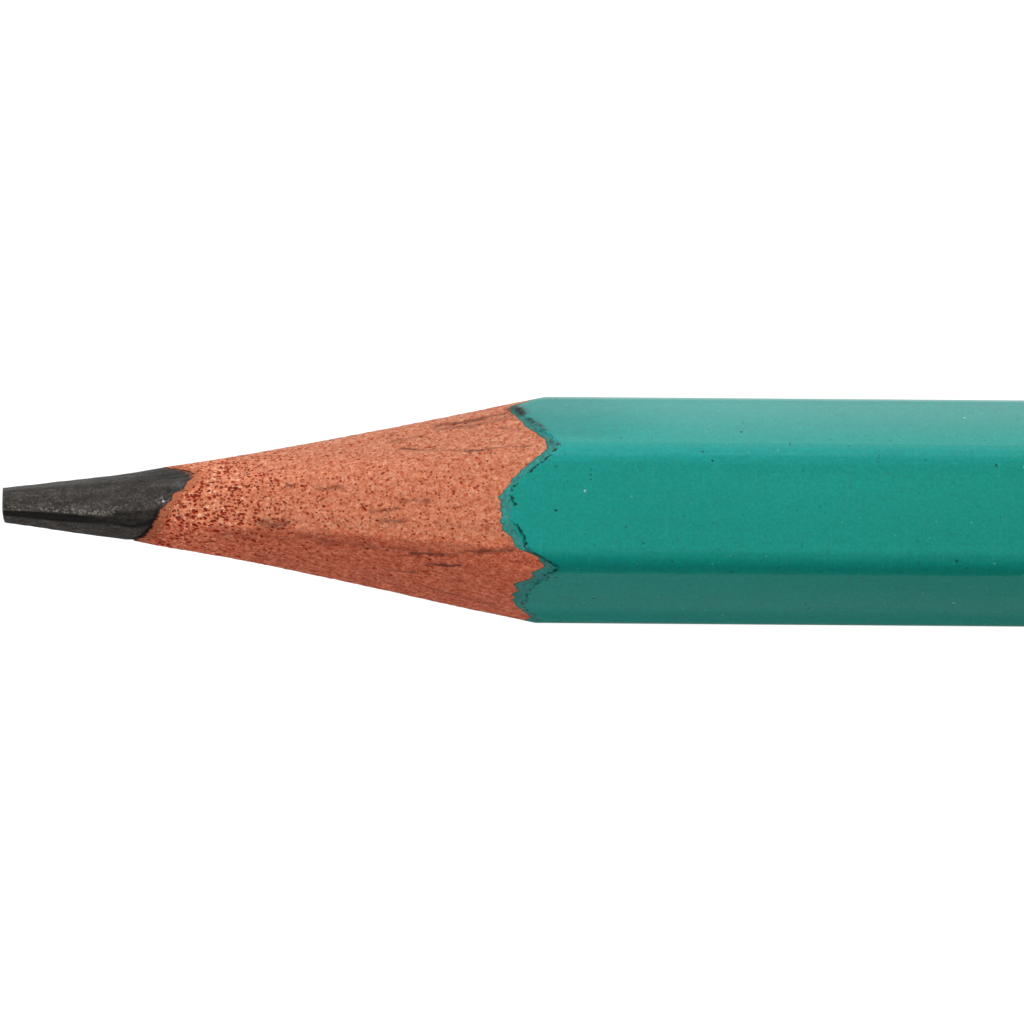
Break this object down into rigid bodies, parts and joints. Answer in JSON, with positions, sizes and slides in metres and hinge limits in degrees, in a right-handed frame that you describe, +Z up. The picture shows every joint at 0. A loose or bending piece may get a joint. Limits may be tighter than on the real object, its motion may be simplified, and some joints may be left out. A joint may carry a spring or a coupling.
{
  "type": "graphite pencil",
  "caption": "Hexagonal wooden graphite pencil lying on one flat, satin teal lacquer, sharpened to a long concave cone with a blunt worn lead and a plain sawn rear end.",
  "frame": {"origin": "on the surface the pencil lies on, under the middle of its length, midway between its two side edges", "axes": "+X along the pencil from the lead to the sawn rear end, +Y sideways towards one long edge, +Z up, out of the flat opposite the one it lies on"},
  "size_m": [0.172, 0.0078, 0.007],
  "materials": {
    "graphite": "fired clay and graphite, dark grey with a soft metallic sheen",
    "glue": "cured wood glue, dull brown",
    "cedar": "bare cut wood, salmon to orange brown, speckled with dark red pores",
    "primer": "pale blue-grey undercoat",
    "lacquer": "teal lacquer, satin",
    "top_coat": "teal as seen through the clear satin varnish"
  },
  "bodies": {
    "root": {"graphite_core": "graphite", "core_bond": "glue", "glue_line_left": "glue", "glue_line_right": "glue", "slat_upper": "cedar", "slat_lower": "cedar", "primer_coat": "primer", "colour_coat": "lacquer", "clear_coat": "top_coat"}
  },
  "joints": []
}
